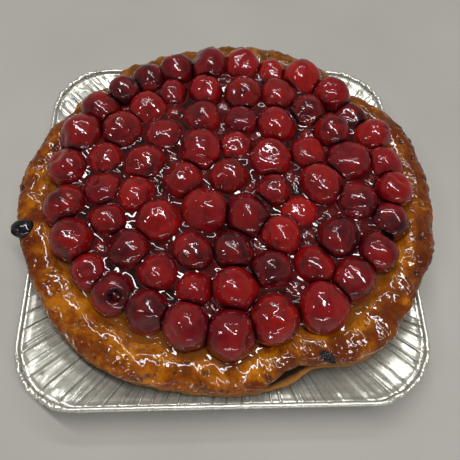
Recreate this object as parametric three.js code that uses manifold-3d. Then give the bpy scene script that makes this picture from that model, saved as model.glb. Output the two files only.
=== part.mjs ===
// Cherry pie in its shallow fluted foil tray.
//
// A round, puffy pastry crust sits in a square foil tray with rounded corners. Its rim lies over the tray's
// rolled edge at the two sides and the back, and just inside it at the front. A bed of set cherry jelly fills
// the crust's basin, whole cherries stand shoulder to shoulder in sockets in the jelly, and one dark berry is
// baked into the crust's left edge.
//
// Units are millimetres, +Z is up, the front is -Y, and the origin is the centre of the tray's underside.
import * as THREE from "three";
import { mergeVertices } from "three/addons/utils/BufferGeometryUtils.js";
import Module from "manifold-3d";

const GAP = 0.3; // between pieces that touch
const ORIGIN = new THREE.Vector2(0, 0);

const TRAY = {
  width: 230, // outside the rolled edge
  cornerRadius: 36,
  floorCornerRadius: 34,
  rimHeight: 24, // centre of the rolled edge
  beadRadius: 1.4,
  wallInset: 42, // from the outside of the edge to the foot of the wall
  sheet: 0.6,
  flutes: 48,
  fluteDepth: 1.1,
};

const FOOT = TRAY.width / 2 - TRAY.wallInset; // half width of the floor
const NECK = TRAY.width / 2 - 2 * TRAY.beadRadius - 0.6; // half width just inside the rolled edge

const CRUST = {
  centre: new THREE.Vector2(1, 6),
  columns: 72,
  reach: 121, // mean radius of the outer edge
  rightwards: 2.8, // how far the outline leans to the right
  backwards: 1.8,
  sideways: 4.7, // wider across than from front to back
  ringWidth: 22,
  frontWidening: 4,
  baseUnderside: 1,
  baseRadius: 66,
  basinFloor: 16,
  basinSlope: 14,
  edgeUnderside: 28.4,
  frontDrop: 4.8, // the front edge sinks inside the tray
  crest: 10.5, // of the rim above its underside
  lip: 5, // of the basin above the rim's underside
  lump: 0.8,
};

// Where the outer edge departs from its smooth outline: at an angle, over a half width in degrees.
const EDGE_FEATURES = [
  { at: 133, halfWidth: 4, out: -6.5 }, // notch at the back left
  { at: 149, halfWidth: 9, out: -3.6 },
  { at: 41.5, halfWidth: 6.5, out: -7 }, // notch at the back right
  { at: 77, halfWidth: 12, out: 4.6 },
  { at: 178, halfWidth: 7, out: 2 },
  { at: -128, halfWidth: 15, out: 4.3 },
  { at: -48, halfWidth: 7, out: 3.6 }, // lobe at the front right
  { at: -70, halfWidth: 7.5, out: -8.4 }, // where the folded flap turns in
];

// The dark mouth under the flap of pastry folded over at the front right.
const FOLD = { at: -70, inset: 1.5, length: 26, depth: 11, height: 2.8, above: 2.8, tilt: 8 };

const JELLY = {
  level: 32.4, // of its top at the rim
  crown: 1.5, // how much higher it stands in the middle
  tilt: 0.012, // rise towards the back
  freeboard: 0.12, // share of the basin's wall left bare above it
};

const HEAP = {
  centre: new THREE.Vector2(2.8, 11.5),
  halfWidth: 108.3, // to the outside of the outermost cherries
  halfDepth: 99.5,
  socket: 0.36, // share of a cherry's radius below the jelly
  smallestWhole: 17.5, // a smaller one shows only its top, sunk in the jelly
  space: 0.8, // between neighbours, for the glaze
  settlingSteps: 300,
  mostSwell: 1.14, // how much the whole ones fill out into free space beside them
  largest: 27.4, // diameter that none of them swells past
};

// Cherry diameters in order round each ring, counter-clockwise. The small ones are the tops of cherries
// that lie sunk in the jelly: they keep their neighbours apart here and aren't solids of their own.
const OUTER_SIZES = [21, 21, 17, 21, 22, 20, 22, 23, 19, 19, 17, 20, 22, 23]
  .concat([26, 22, 19, 19, 23, 21, 22, 28, 22, 26, 22, 20, 16]);
const SECOND_SIZES = [25, 22, 17, 21, 24, 19, 16, 20, 21, 19].concat([21, 17, 25, 20, 19, 16, 23, 20, 25, 24]);
const THIRD_SIZES = [24, 17, 21, 23, 20, 17, 26, 20, 23, 16, 22, 17, 23];
const RINGS = [
  { reach: 92, from: 7, sizes: OUTER_SIZES },
  { reach: 70, from: 9, sizes: SECOND_SIZES },
  { reach: 48, from: 54, sizes: THIRD_SIZES },
  { reach: 26, from: 28, sizes: [23, 21, 22, 24, 24, 25, 17] },
  { reach: 3, from: 120, sizes: [21] },
];

// Half the outline of a cherry of radius 1, from its foot to the dimple where its stem was.
const CHERRY_PROFILE = [
  [0, -0.98],
  [0.64, -0.76],
  [0.99, -0.12],
  [0.88, 0.48],
  [0.45, 0.88],
  [0, 0.78],
];
const CHERRY_COLUMNS = 8;

const DARK_BERRY = { at: 191, inset: 4, length: 14.5, width: 11.5, height: 10, sunk: 1.3 };

const COLOURS = {
  foil: { color: "#c9c8c0", roughness: 0.25, metalness: 1 },
  crust: { color: "#a8590f", roughness: 0.3, metalness: 0 },
  jelly: { color: "#3a0509", roughness: 0.12, metalness: 0 },
  cherry: { color: "#7a0a12", roughness: 0.12, metalness: 0 },
  darkBerry: { color: "#0b0a0b", roughness: 0.15, metalness: 0 },
};

const radians = THREE.MathUtils.degToRad;
const wasm = await Module();
wasm.setup();

// A repeatable run of numbers from 0 to 1.
function seededNumbers(seed) {
  let state = seed;
  return () => {
    state = (state * 1664525 + 1013904223) % 4294967296;
    return state / 4294967296;
  };
}

// A smooth bump from 0 to 1 and back, centred on an angle.
function bump(angle, at, halfWidth) {
  const away = THREE.MathUtils.euclideanModulo(angle - at + 180, 360) - 180;
  const share = Math.abs(away) / (2 * halfWidth);
  return share < 1 ? 0.5 + 0.5 * Math.cos(Math.PI * share) : 0;
}

// Hand-made unevenness: a few waves that close up round the circle.
function waver(angle, shift) {
  const turn = radians(angle);
  const slow = Math.sin(5 * turn + shift);
  const quick = 0.7 * Math.sin(11 * turn + 2.3 * shift) + 0.5 * Math.sin(17 * turn - shift);
  return (slow + quick) / 2.2;
}

// A closed skin on a grid of columns round +Z and rows from the bottom's middle to the top's:
// place(row, index, angle, column) puts each vertex. Its first and last rows lie on the axis.
function gridTurned(rows, place, columns = CRUST.columns) {
  const profile = rows.map((row, index) => new THREE.Vector2(index % (rows.length - 1) ? 1 : 0, index));
  const geometry = new THREE.LatheGeometry(profile, columns).rotateX(Math.PI / 2);
  geometry.deleteAttribute("normal");
  geometry.deleteAttribute("uv");
  const position = geometry.getAttribute("position");
  for (let i = 0; i < position.count; i++) {
    const index = i % rows.length;
    const column = Math.floor(i / rows.length) % columns;
    position.setXYZ(i, ...place(rows[index], index, (360 * column) / columns, column));
  }
  return geometry;
}

// A point at a distance and an angle from a centre, with a height.
function polar(centre, distance, angle, height) {
  const turn = radians(angle);
  return [centre.x + distance * Math.cos(turn), centre.y + distance * Math.sin(turn), height];
}

function solidOf(geometry) {
  const merged = mergeVertices(geometry, 1e-4);
  const mesh = new wasm.Mesh({
    numProp: 3,
    vertProperties: merged.attributes.position.array,
    triVerts: new Uint32Array(merged.index.array),
  });
  return new wasm.Manifold(mesh);
}

function geometryOf(solid) {
  const { vertProperties, triVerts } = solid.getMesh();
  const geometry = new THREE.BufferGeometry();
  geometry.setAttribute("position", new THREE.BufferAttribute(vertProperties, 3));
  geometry.setIndex(new THREE.BufferAttribute(triVerts, 1));
  return geometry;
}

// Distance from the centre to a rounded square of a given half width, along an angle.
function roundedSquare(half, corner, angle) {
  const across = Math.abs(Math.cos(radians(angle)));
  const along = Math.abs(Math.sin(radians(angle)));
  const far = Math.max(across, along);
  const near = Math.min(across, along);
  if ((half * near) / far <= half - corner) return half / far;
  const reach = (half - corner) * (across + along);
  return reach + Math.sqrt(reach * reach - 2 * (half - corner) ** 2 + corner * corner);
}

// The tray: a flat floor, a gently sloping fluted wall and a rolled edge, in one thin sheet.
function trayGeometry() {
  const half = TRAY.width / 2;
  const { rimHeight, beadRadius, sheet } = TRAY;
  const bead = [-135, -45, 45, 135].map((turn) => [
    half - beadRadius + beadRadius * Math.cos(radians(turn)),
    rimHeight + beadRadius * Math.sin(radians(turn)),
  ]);
  const wall = (share, lift) => [THREE.MathUtils.lerp(FOOT, NECK, share), (rimHeight - sheet) * share + lift];
  const rows = [[0, 0], [FOOT + 0.4, 0], wall(0.9, 0), ...bead, wall(0.9, sheet), [FOOT, sheet], [0, sheet]];
  const place = ([radius, height], index, angle, column) => {
    const share = THREE.MathUtils.clamp((radius - FOOT) / (NECK - FOOT), 0, 1);
    const corner = THREE.MathUtils.lerp(TRAY.floorCornerRadius, TRAY.cornerRadius, share);
    const reach = radius > 0 ? roundedSquare(radius, corner, angle) : 0;
    const fluted = share > 0.05 && share < 0.95;
    const flute = fluted ? TRAY.fluteDepth * (column % 2) : 0;
    return polar(ORIGIN, reach, angle, height + flute);
  };
  return gridTurned(rows, place, TRAY.flutes * 2);
}

// Distance from the tray's centre to its wall, at a share of the way from the wall's foot to its neck.
function wallReach(share, angle) {
  const corner = THREE.MathUtils.lerp(TRAY.floorCornerRadius, TRAY.cornerRadius, share);
  return roundedSquare(THREE.MathUtils.lerp(FOOT, NECK, share), corner, angle);
}

// Height that clears the foil's upper side at a place.
function clearOfFoil(x, y) {
  const angle = THREE.MathUtils.radToDeg(Math.atan2(y, x));
  let share = 0;
  for (let step = 0.5; step > 0.01; step /= 2) {
    if (wallReach(share + step, angle) <= Math.hypot(x, y)) share += step;
  }
  return TRAY.sheet + TRAY.fluteDepth + 2 * GAP + (TRAY.rimHeight + TRAY.beadRadius) * share;
}

// Radius of the crust's outer edge at an angle, from its own centre.
function edgeReach(angle) {
  const turn = radians(angle);
  const { reach, rightwards, backwards, sideways, lump } = CRUST;
  const lean = rightwards * Math.cos(turn) + backwards * Math.sin(turn);
  const smooth = reach + lean + sideways * Math.cos(2 * turn);
  const features = EDGE_FEATURES.reduce((sum, f) => sum + f.out * bump(angle, f.at, f.halfWidth), 0);
  return smooth + features + 0.7 * lump * waver(angle, 1);
}

// Width of the crust's visible ring at an angle: widest at the front, and thin at the back.
function ringWidth(angle) {
  return CRUST.ringWidth - CRUST.frontWidening * Math.sin(radians(angle));
}

// Height of the rim's underside at an angle.
function rimUnderside(angle) {
  const front = Math.max(0, -Math.sin(radians(angle)));
  return CRUST.edgeUnderside - CRUST.frontDrop * front ** 2;
}

// A spot on the basin's wall, at a share of the way from its lip down to its floor.
function basinSpot(angle, share) {
  const distance = edgeReach(angle) - ringWidth(angle) - CRUST.basinSlope * share;
  return [distance, THREE.MathUtils.lerp(rimUnderside(angle) + CRUST.lip, CRUST.basinFloor, share)];
}

function crustGeometry() {
  const { crest } = CRUST;
  // A row lies on the axis, round the base, in the basin, or on the rim: so far inwards from its edge,
  // and so far up from its underside. Rows over the foil keep clear of it.
  const rows = [
    { axis: CRUST.baseUnderside },
    { base: CRUST.baseRadius },
    { inwards: 20, up: -9, overFoil: true },
    { inwards: 10, up: -2, overFoil: true },
    { inwards: 1, up: 0, overFoil: true },
    { inwards: 0.4, up: 0.45 * crest },
    { inwards: 4, up: 0.86 * crest, lumps: 1 },
    { inwards: 10, up: crest, lumps: 1 },
    { inwards: 16, up: 0.86 * crest, lumps: 0.6 },
    { basin: 0 },
    { basin: 1 },
    { axis: CRUST.basinFloor },
  ];
  return gridTurned(rows, (row, index, angle) => {
    if (row.axis) return [CRUST.centre.x, CRUST.centre.y, row.axis];
    if (row.base) return polar(ORIGIN, row.base, angle, CRUST.baseUnderside);
    if ("basin" in row) {
      const [distance, height] = basinSpot(angle, row.basin);
      return polar(CRUST.centre, distance, angle, height);
    }
    const lumps = (row.lumps ?? 0) * CRUST.lump * waver(angle, 4 + index);
    const height = rimUnderside(angle) + row.up + lumps;
    const [x, y] = polar(CRUST.centre, edgeReach(angle) - row.inwards, angle, height);
    const lowest = row.overFoil ? clearOfFoil(x, y) : 0;
    return [x, y, Math.max(height, lowest)];
  });
}

// Height of the jelly's top at a place.
function jellyTop(x, y) {
  const out = Math.hypot(x - CRUST.centre.x, y - CRUST.centre.y) / CRUST.reach;
  return JELLY.level + JELLY.crown * (1 - out * out) + JELLY.tilt * (y - CRUST.centre.y);
}

// The set jelly in the basin, before the cherries are pressed into it.
function jellyGeometry() {
  const floor = CRUST.basinFloor + GAP;
  const middle = jellyTop(CRUST.centre.x, CRUST.centre.y);
  const rows = [{ axis: floor }, { wall: 1 }, { wall: JELLY.freeboard }, { top: 0.75 }, { axis: middle }];
  return gridTurned(rows, (row, index, angle) => {
    if (row.axis) return [CRUST.centre.x, CRUST.centre.y, row.axis];
    const [distance, height] = basinSpot(angle, row.wall ?? JELLY.freeboard);
    if (row.wall) return polar(CRUST.centre, distance - 2 * GAP, angle, Math.max(height, floor));
    const [x, y] = polar(CRUST.centre, row.top * distance, angle, 0);
    return [x, y, jellyTop(x, y)];
  });
}

// Lays the rings of cherries out by their sizes, lets them push each other apart inside the heap's outline,
// then swells the whole ones into what space is left beside them.
function settledCherries() {
  const cherries = RINGS.flatMap(({ reach, from, sizes }) => {
    const total = sizes.reduce((sum, size) => sum + size, 0);
    let passed = -sizes[0] / 2;
    return sizes.map((size) => {
      const angle = radians(from + (360 * (passed + size / 2)) / total);
      passed += size;
      const x = HEAP.centre.x + (reach / HEAP.halfDepth) * HEAP.halfWidth * Math.cos(angle);
      return { x, y: HEAP.centre.y + reach * Math.sin(angle), radius: size / 2, size };
    });
  });
  for (let step = 0; step < HEAP.settlingSteps; step++) {
    cherries.forEach((a, i) => cherries.slice(i + 1).forEach((b) => pushApart(a, b)));
    cherries.forEach(keepInHeap);
  }
  const whole = cherries.filter(({ size }) => size >= HEAP.smallestWhole);
  whole.forEach((cherry) => swell(cherry, whole));
  return whole;
}

// Fills a cherry out until it all but touches a neighbour.
function swell(cherry, whole) {
  const others = whole.filter((other) => other !== cherry);
  const free = others.map(({ x, y, radius }) => Math.hypot(x - cherry.x, y - cherry.y) - radius - HEAP.space);
  const most = Math.min(HEAP.mostSwell * cherry.radius, HEAP.largest / 2, ...free);
  cherry.radius = Math.max(cherry.radius, most);
  keepInHeap(cherry);
}

function pushApart(a, b) {
  const dx = b.x - a.x;
  const dy = b.y - a.y;
  const apart = Math.hypot(dx, dy);
  const overlap = a.radius + b.radius + HEAP.space - apart;
  if (overlap <= 0) return;
  const share = overlap / 2 / apart;
  a.x -= dx * share;
  a.y -= dy * share;
  b.x += dx * share;
  b.y += dy * share;
}

function keepInHeap(cherry) {
  const dx = (cherry.x - HEAP.centre.x) / (HEAP.halfWidth - cherry.radius);
  const dy = (cherry.y - HEAP.centre.y) / (HEAP.halfDepth - cherry.radius);
  const out = Math.hypot(dx, dy);
  if (out <= 1) return;
  cherry.x = HEAP.centre.x + (cherry.x - HEAP.centre.x) / out;
  cherry.y = HEAP.centre.y + (cherry.y - HEAP.centre.y) / out;
}

// One cherry, a round fruit with a dimple at its stem end, leaning its own way. The margin swells it to
// cut its socket.
function cherryGeometry(cherry, margin) {
  const swell = 1 + (1.3 * margin) / cherry.radius;
  const profile = CHERRY_PROFILE.map(([across, up]) => new THREE.Vector2(across, up));
  const geometry = new THREE.LatheGeometry(profile, CHERRY_COLUMNS).rotateX(Math.PI / 2);
  geometry.deleteAttribute("normal");
  geometry.deleteAttribute("uv");
  geometry.scale(cherry.radius * swell, cherry.radius * swell, cherry.radius * swell * cherry.flatness);
  geometry.rotateX(cherry.lean).rotateZ(cherry.turn);
  return geometry.translate(cherry.x, cherry.y, cherry.z);
}

function darkBerryGeometry(margin) {
  const { at, inset, length, width, height, sunk } = DARK_BERRY;
  const [x, y] = polar(CRUST.centre, edgeReach(at) - inset, at, 0);
  const z = rimUnderside(at) + CRUST.crest - sunk;
  const geometry = new THREE.IcosahedronGeometry(1, 1);
  geometry.deleteAttribute("normal");
  geometry.deleteAttribute("uv");
  geometry.scale(length / 2 + margin, width / 2 + margin, height / 2 + margin);
  return geometry.translate(x, y, z);
}

function foldGeometry() {
  const { at, inset, length, depth, height, above, tilt } = FOLD;
  const geometry = new THREE.IcosahedronGeometry(1, 1);
  geometry.deleteAttribute("normal");
  geometry.deleteAttribute("uv");
  geometry.scale(depth / 2, length / 2, height / 2);
  geometry.rotateX(radians(tilt)).rotateZ(radians(at));
  return geometry.translate(...polar(CRUST.centre, edgeReach(at) - inset, at, rimUnderside(at) + above));
}

const random = seededNumbers(7);
const cherries = settledCherries().map((cherry) => ({
  ...cherry,
  z: jellyTop(cherry.x, cherry.y) + (1 - HEAP.socket) * cherry.radius,
  flatness: 0.9 + 0.08 * random(),
  lean: radians(-35 + 70 * random()),
  turn: radians(360 * random()),
}));

const sockets = cherries.map((cherry) => solidOf(cherryGeometry(cherry, GAP + 0.1)));
const berrySocket = solidOf(darkBerryGeometry(GAP));
const foldMouth = solidOf(foldGeometry());
const pressedInto = (solid, cutters) => cutters.reduce((left, cutter) => left.subtract(cutter), solid);

const pie = new THREE.Group();

function addNode(name, geometry, look) {
  const mesh = new THREE.Mesh(geometry, new THREE.MeshStandardMaterial(look));
  mesh.name = name;
  pie.add(mesh);
}

addNode("foil_tray", trayGeometry(), COLOURS.foil);
const crust = pressedInto(solidOf(crustGeometry()), [...sockets, berrySocket, foldMouth]);
addNode("crust", geometryOf(crust), COLOURS.crust);
addNode("cherry_jelly", geometryOf(pressedInto(solidOf(jellyGeometry()), sockets)), COLOURS.jelly);
addNode("dark_berry", darkBerryGeometry(0), COLOURS.darkBerry);
cherries.forEach((cherry, i) => {
  const name = `cherry_${String(i + 1).padStart(2, "0")}`;
  addNode(name, cherryGeometry(cherry, 0), COLOURS.cherry);
});

export default pie;
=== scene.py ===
# Cherry pie with a glazed puffed crust, in its square fluted foil tray.
import math
import random

import bmesh
import bpy
import numpy as np
from mathutils import Euler, Matrix, Vector, noise
from mathutils.bvhtree import BVHTree


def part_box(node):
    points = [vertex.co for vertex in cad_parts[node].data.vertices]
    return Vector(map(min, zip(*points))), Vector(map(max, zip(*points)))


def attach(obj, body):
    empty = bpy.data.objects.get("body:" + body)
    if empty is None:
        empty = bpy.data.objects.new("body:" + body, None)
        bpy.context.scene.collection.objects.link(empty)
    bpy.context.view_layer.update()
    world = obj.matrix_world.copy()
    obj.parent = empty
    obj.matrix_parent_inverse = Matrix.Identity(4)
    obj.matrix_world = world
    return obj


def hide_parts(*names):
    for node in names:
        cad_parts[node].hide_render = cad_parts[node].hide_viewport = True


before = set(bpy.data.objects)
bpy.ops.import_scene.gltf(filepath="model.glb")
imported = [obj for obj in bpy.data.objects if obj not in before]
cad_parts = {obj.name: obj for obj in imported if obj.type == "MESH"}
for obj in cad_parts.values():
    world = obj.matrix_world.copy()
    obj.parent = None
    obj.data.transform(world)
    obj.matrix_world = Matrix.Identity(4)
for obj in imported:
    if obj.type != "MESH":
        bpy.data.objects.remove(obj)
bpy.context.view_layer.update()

# Shapes are worked out in millimetres and scaled to metres when a piece is finished.
metres = 0.001


def smoothStep(low, high, value):
    share = np.clip((np.asarray(value, float) - low) / (high - low), 0, 1)
    return share * share * (3 - 2 * share)


def bump(angle, at, halfWidth):
    away = (np.asarray(angle, float) - at + 180) % 360 - 180
    share = np.minimum(np.abs(away) / (2 * halfWidth), 1)
    return 0.5 + 0.5 * np.cos(math.pi * share)


def noiseAt(points, scale, seed=0.0, octaves=1):
    # Perlin noise for many points, -1 to 1, over features of about the given size in millimetres
    shift = Vector((seed * 17.3, seed * 5.1, seed * 9.7))
    values = np.zeros(len(points))
    for octave in range(octaves):
        factor = 2 ** octave
        values += [noise.noise((Vector(p) / scale + shift) * factor) / factor for p in points]
    return values


def nodeBox(name):
    low, high = (np.array(corner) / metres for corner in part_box(name))
    return (low + high) / 2, (high - low)


def ringGrid(columns, rows, capFirst=True, capLast=True):
    # rings of vertices extruded one from the next; layers remember each vertex's row and column
    bm = bmesh.new()
    rowOf = bm.verts.layers.int.new("row")
    columnOf = bm.verts.layers.int.new("column")
    bmesh.ops.create_circle(bm, segments=columns, radius=1)
    bm.verts.ensure_lookup_table()
    for index, vert in enumerate(bm.verts):
        vert[columnOf] = index
    edges = list(bm.edges)
    firstRing = list(bm.verts)
    for row in range(1, rows):
        made = bmesh.ops.extrude_edge_only(bm, edges=edges)["geom"]
        edges = [item for item in made if isinstance(item, bmesh.types.BMEdge)]
        for vert in made:
            if isinstance(vert, bmesh.types.BMVert):
                vert[rowOf] = row
    lastRing = [vert for vert in bm.verts if vert[rowOf] == rows - 1]
    if capFirst:
        bmesh.ops.pointmerge(bm, verts=firstRing, merge_co=(0, 0, 0))
    if capLast:
        bmesh.ops.pointmerge(bm, verts=lastRing, merge_co=(0, 0, 0))
    return bm


def layerValues(mesh, name):
    values = np.zeros(len(mesh.vertices), np.int32)
    mesh.attributes[name].data.foreach_get("value", values)
    return values


def meshFrom(bm, name):
    mesh = bpy.data.meshes.new(name)
    bm.to_mesh(mesh)
    bm.free()
    return mesh


def setPoints(mesh, points):
    mesh.vertices.foreach_set("co", np.asarray(points, float).ravel())
    mesh.update()


def paint(mesh, name, values):
    layer = mesh.attributes.new(name, "FLOAT", "POINT")
    layer.data.foreach_set("value", np.asarray(values, np.float32))


def faceOutwards(mesh):
    bm = bmesh.new()
    bm.from_mesh(mesh)
    bmesh.ops.recalc_face_normals(bm, faces=bm.faces)
    bm.to_mesh(mesh)
    bm.free()


def finishPiece(name, mesh, material, nodes=()):
    for layer in ("row", "column"):
        if layer in mesh.attributes:
            mesh.attributes.remove(mesh.attributes[layer])
    mesh.transform(Matrix.Scale(metres, 4))
    mesh.shade_smooth()
    mesh.materials.append(material)
    piece = bpy.data.objects.new(name, mesh)
    bpy.context.scene.collection.objects.link(piece)
    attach(piece, "root")
    if nodes:
        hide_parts(*nodes)
    print(name, "has", len(mesh.polygons), "faces")
    return piece


class Shader:
    def __init__(self, name):
        self.material = bpy.data.materials.new(name)
        self.material.use_nodes = True
        self.tree = self.material.node_tree
        self.surface = self.tree.nodes["Principled BSDF"]

    def add(self, kind, settings=None, **inputs):
        made = self.tree.nodes.new("ShaderNode" + kind)
        for key, value in (settings or {}).items():
            setattr(made, key, value)
        for key, value in inputs.items():
            self.feed(made.inputs[key.replace("_", " ")], value)
        return made

    def feed(self, socket, value):
        if isinstance(value, bpy.types.NodeSocket):
            self.tree.links.new(value, socket)
        else:
            socket.default_value = value

    def place(self):
        return self.add("TexCoord").outputs["Object"]

    def noise(self, scale, detail=3.0, roughness=0.55, distortion=0.0):
        made = self.add("TexNoise", Vector=self.place(), Scale=scale, Detail=detail, Roughness=roughness)
        made.inputs["Distortion"].default_value = distortion
        return made.outputs["Fac"]

    def attribute(self, name):
        return self.add("Attribute", {"attribute_name": name}).outputs["Fac"]

    def ramp(self, value, *stops):
        made = self.add("ValToRGB", Fac=value)
        elements = made.color_ramp.elements
        while len(elements) < len(stops):
            elements.new(0.5)
        for element, (position, colour) in zip(elements, stops):
            element.position = position
            element.color = (*colour, 1)
        return made.outputs["Color"]

    def grade(self, value, low, high, toLow=0.0, toHigh=1.0):
        made = self.add("MapRange", Value=value)
        for key, number in (("From Min", low), ("From Max", high), ("To Min", toLow), ("To Max", toHigh)):
            made.inputs[key].default_value = number
        return made.outputs["Result"]

    def mix(self, factor, first, second, blend="MIX"):
        made = self.add("Mix", {"data_type": "RGBA", "blend_type": blend})
        self.feed(made.inputs["Factor"], factor)
        self.feed(made.inputs[6], first)
        self.feed(made.inputs[7], second)
        return made.outputs[2]

    def math(self, operation, first, second):
        made = self.add("Math", {"operation": operation})
        self.feed(made.inputs[0], first)
        self.feed(made.inputs[1], second)
        return made.outputs[0]

    def bump(self, height, strength, distance, normal=None):
        made = self.add("Bump", Height=height, Strength=strength, Distance=distance)
        if normal is not None:
            self.feed(made.inputs["Normal"], normal)
        return made.outputs["Normal"]

    def set(self, **inputs):
        for key, value in inputs.items():
            self.feed(self.surface.inputs[key.replace("_", " ")], value)
        return self.material


def colour(red, green, blue):
    # a colour given as it looks on a screen, 0 to 255, in the linear values that shaders take
    def linear(part):
        return ((part / 255 + 0.055) / 1.055) ** 2.4 if part > 10 else part / 255 / 12.92

    return linear(red), linear(green), linear(blue)


cameraSettings = {
    "place": (-7.2, -127.7, 282.6),
    "lookDown": 65.83,
    "turn": -5.55,
    "roll": 4.66,
    "lens": 36.08,
    "sensor": 36,
}

lightSettings = {
    "tubes": [  # place in metres, length, width, turn in degrees, power
        ((0.08, 0.08, 1.30), 1.50, 0.07, 7, 13.0),
        ((0.02, 0.66, 1.20), 1.0, 0.028, -5, 3.2),
        ((-0.75, -0.35, 1.1), 0.3, 0.06, 30, 2),
        ((0.15, -1.10, 0.42), 0.9, 0.022, 4, 2.0),
    ],
    "walls": (0.27, 0.265, 0.24),
    "ceilingInFront": (0.035, 0.035, 0.035),
    "ceilingBehind": (0.085, 0.085, 0.083),
    "ceilingBlend": (-0.5, 0.7),
    "wallTop": (0.15, 0.74),
}


def makeCamera():
    data = bpy.data.cameras.new("camera")
    data.lens = cameraSettings["lens"]
    data.sensor_width = cameraSettings["sensor"]
    camera = bpy.data.objects.new("camera", data)
    tilt = Euler((math.radians(90 - cameraSettings["lookDown"]), 0, math.radians(cameraSettings["turn"])))
    roll = Matrix.Rotation(math.radians(cameraSettings["roll"]), 4, "Z")
    camera.matrix_world = (
        Matrix.Translation(Vector(cameraSettings["place"]) * metres) @ tilt.to_matrix().to_4x4() @ roll
    )
    bpy.context.scene.collection.objects.link(camera)
    bpy.context.scene.camera = camera


def addTube(name, place, length, width, turn, power):
    data = bpy.data.lights.new(name, "AREA")
    data.shape = "RECTANGLE"
    data.size = length
    data.size_y = width
    data.energy = power
    lamp = bpy.data.objects.new(name, data)
    aim = Vector(place).to_track_quat("Z", "Y").to_matrix().to_4x4()
    lamp.matrix_world = Matrix.Translation(place) @ aim @ Matrix.Rotation(math.radians(turn), 4, "Z")
    bpy.context.scene.collection.objects.link(lamp)


def makeLights():
    for index, (place, length, width, turn, power) in enumerate(lightSettings["tubes"]):
        addTube(f"tube{index}", place, length, width, turn, power)
    world = bpy.data.worlds.new("studio")
    world.use_nodes = True
    tree = world.node_tree
    place = tree.nodes.new("ShaderNodeTexCoord")
    split = tree.nodes.new("ShaderNodeSeparateXYZ")
    tree.links.new(place.outputs["Generated"], split.inputs[0])

    def blend(axis, low, high, first, second):
        spread = tree.nodes.new("ShaderNodeMapRange")
        spread.inputs["From Min"].default_value = low
        spread.inputs["From Max"].default_value = high
        tree.links.new(split.outputs[axis], spread.inputs["Value"])
        both = tree.nodes.new("ShaderNodeMix")
        both.data_type = "RGBA"
        tree.links.new(spread.outputs["Result"], both.inputs["Factor"])
        for socket, tone in ((both.inputs[6], first), (both.inputs[7], second)):
            if isinstance(tone, tuple):
                socket.default_value = (*tone, 1)
            else:
                tree.links.new(tone, socket)
        return both.outputs[2]

    ceiling = blend(
        "Y", *lightSettings["ceilingBlend"], lightSettings["ceilingInFront"], lightSettings["ceilingBehind"]
    )
    tone = blend("Z", *lightSettings["wallTop"], lightSettings["walls"], ceiling)
    tree.links.new(tone, tree.nodes["Background"].inputs["Color"])
    bpy.context.scene.world = world
    bpy.context.scene.view_settings.view_transform = "Standard"


floorSettings = {
    "half": 2.5,  # metres
    "darker": (165, 162, 155),
    "paler": (173, 170, 163),
}


def makeFloor():
    bm = bmesh.new()
    bmesh.ops.create_grid(bm, x_segments=1, y_segments=1, size=floorSettings["half"])
    mesh = meshFrom(bm, "floor")
    shade = Shader("paleFloor")
    darker, paler = colour(*floorSettings["darker"]), colour(*floorSettings["paler"])
    tone = shade.ramp(shade.noise(9, 2), (0.3, darker), (0.7, paler))
    mesh.materials.append(shade.set(Base_Color=tone, Roughness=0.6))
    floor = bpy.data.objects.new("floor", mesh)
    bpy.context.scene.collection.objects.link(floor)


traySettings = {
    "half": 115.0,
    "corner": 36.0,
    "floorHalf": 73.0,
    "floorCorner": 40.0,
    "rimHeight": 23.8,
    "wallDrop": 0.75,  # how far below the middle of the rolled edge the wall ends
    "beadRadius": 1.35,
    "sheet": 0.22,
    "rimSheet": 0.16,
    "floorRings": (0.0, 0.45, 0.9),
    "wallRings": (0, 0.03, 0.07, 0.13, 0.2, 0.3, 0.4, 0.5, 0.6, 0.7, 0.78, 0.84, 0.88, 0.91, 0.94, 0.97, 1),
    "panelWidth": (2.2, 9.0),
    "panelStops": (0.0, 0.07, 0.22, 0.36, 0.5, 0.64, 0.78, 0.93, 1.0),
    "panelTilt": 0.5,
    "pleatDepth": (0.8, 1.8),
    "ribShare": 0.68,
    "ribWidth": (1.0, 2.2),
    "ribSection": ((0.3, 0.85, 0.9), (0.5, 1.0, 0.0), (0.7, 0.85, 0.5)),  # across, height, painted dark reflection
    "stepWidth": 0.45,
    "streaks": 0.13,
    "paintedDarkStreaks": (-0.5, 0.5),
    "crumple": 0.28,
    "gutter": 0.5,
    "gathering": 0.9,
    "crimp": 1.35,
    "rimTurns": (205, 180, 155, 130, 105, 80, 55, 30, 5, -20, -50, -85, -120),  # degrees round the bead
    "rimColumns": 1500,
    "seed": 11,
}


def roundedSquare(half, corner, share):
    # points at shares of the way round a rounded square, their outward directions, and how far into
    # a corner they are
    flat = half - corner
    arc = math.pi * corner / 2
    along = (np.asarray(share, float) % 1) * 4
    quarter = np.floor(along).astype(int)
    along = (along - quarter) * (2 * flat + arc)
    turn = np.clip((along - flat) / max(corner, 1e-6), 0, math.pi / 2)
    x = flat + corner * np.cos(turn)
    y = flat + corner * np.sin(turn)
    y = np.where(along < flat, along, y)
    x = np.where(along > flat + arc, 2 * flat + arc - along, x)
    spin = quarter * math.pi / 2
    points = np.stack([x * np.cos(spin) - y * np.sin(spin), x * np.sin(spin) + y * np.cos(spin)], 1)
    facing = turn + spin
    intoCorner = np.sin(2 * turn)
    return points, np.stack([np.cos(facing), np.sin(facing)], 1), intoCorner


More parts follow.
